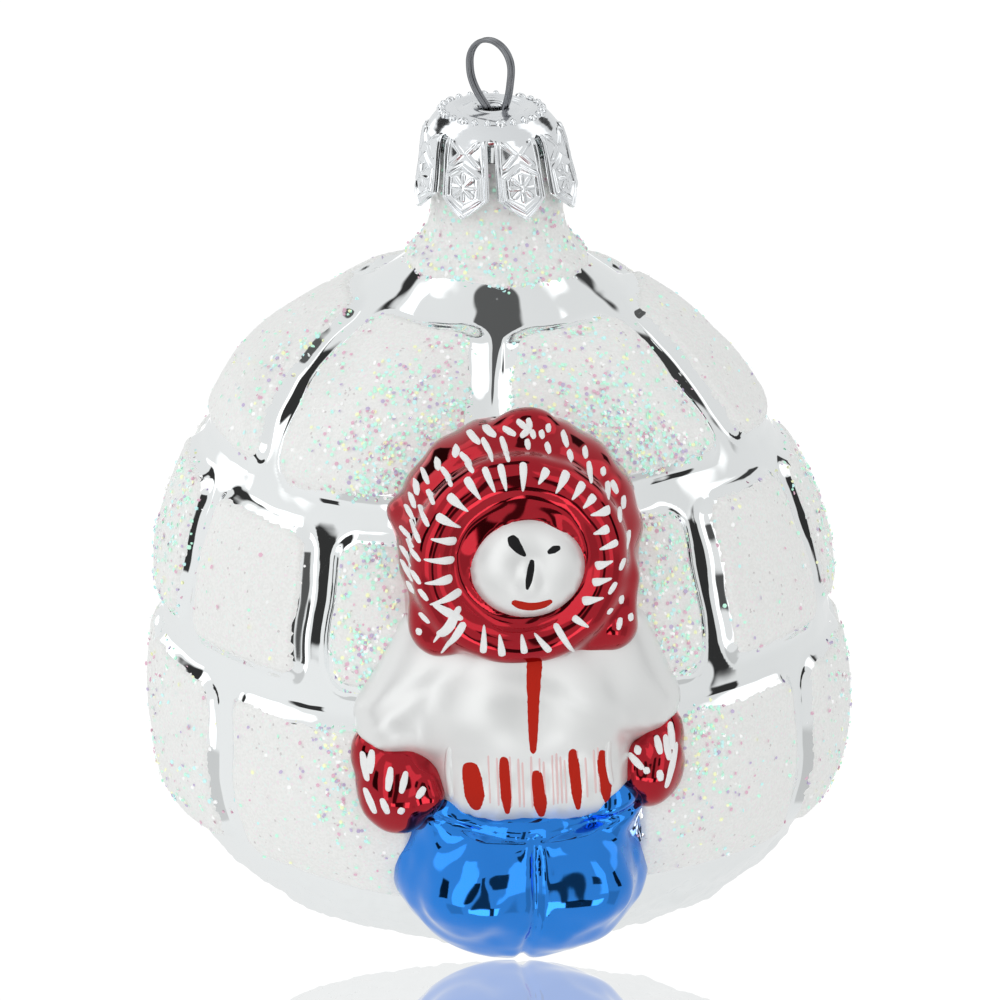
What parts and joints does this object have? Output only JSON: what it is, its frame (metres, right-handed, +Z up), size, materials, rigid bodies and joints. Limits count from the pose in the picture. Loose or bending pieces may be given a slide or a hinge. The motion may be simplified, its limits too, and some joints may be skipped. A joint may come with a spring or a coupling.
{
  "type": "glass igloo tree ornament",
  "caption": "Blown-glass hanging ornament shaped as an igloo of glittered snow blocks, with a small hooded figure moulded on its front, a stamped crown cap and a wire loop.",
  "frame": {"origin": "inside top of the wire hanging loop, where the hook bears", "axes": "+Z up along the ornament's axis, the figure faces -Y, +X is to the viewer's right when looking at the figure"},
  "size_m": [0.0706, 0.0767, 0.0908],
  "materials": {
    "silvered_glass": "silvered glass, bright mirror",
    "glitter_snow": "fine sugary glitter with pastel flakes",
    "red_lacquer": "transparent red lacquer over silvered glass",
    "blue_lacquer": "transparent blue lacquer over silvered glass",
    "satin_white": "satin pearl-white lacquer over silvered glass",
    "cap_metal": "stamped bright metal",
    "hanger_steel": "dark drawn wire"
  },
  "bodies": {
    "root": {"glass_shell": "silvered_glass", "neck_collar": "glitter_snow", "cap_crown": "cap_metal", "hanger_strand_front": "hanger_steel", "hanger_strand_back": "hanger_steel", "hood": "red_lacquer", "face": "satin_white", "parka": "satin_white", "mitten_left": "red_lacquer", "mitten_right": "red_lacquer", "trousers": "blue_lacquer", "course_1_block_1": "glitter_snow", "course_1_block_2": "glitter_snow", "course_1_block_3": "glitter_snow", "course_1_block_4": "glitter_snow", "course_1_block_5": "glitter_snow", "course_1_block_6": "glitter_snow", "course_2_block_1": "glitter_snow", "course_2_block_2": "glitter_snow", "course_2_block_3": "glitter_snow", "course_2_block_4": "glitter_snow", "course_2_block_5": "glitter_snow", "course_2_block_6": "glitter_snow", "course_2_block_7": "glitter_snow", "course_2_block_8": "glitter_snow", "course_2_block_9": "glitter_snow", "course_2_block_10": "glitter_snow", "course_3_block_1": "glitter_snow", "course_3_block_3": "glitter_snow", "course_3_block_4": "glitter_snow", "course_3_block_5": "glitter_snow", "course_3_block_6": "glitter_snow", "course_3_block_7": "glitter_snow", "course_3_block_8": "glitter_snow", "course_3_block_9": "glitter_snow", "course_3_block_10": "glitter_snow"}
  },
  "joints": []
}
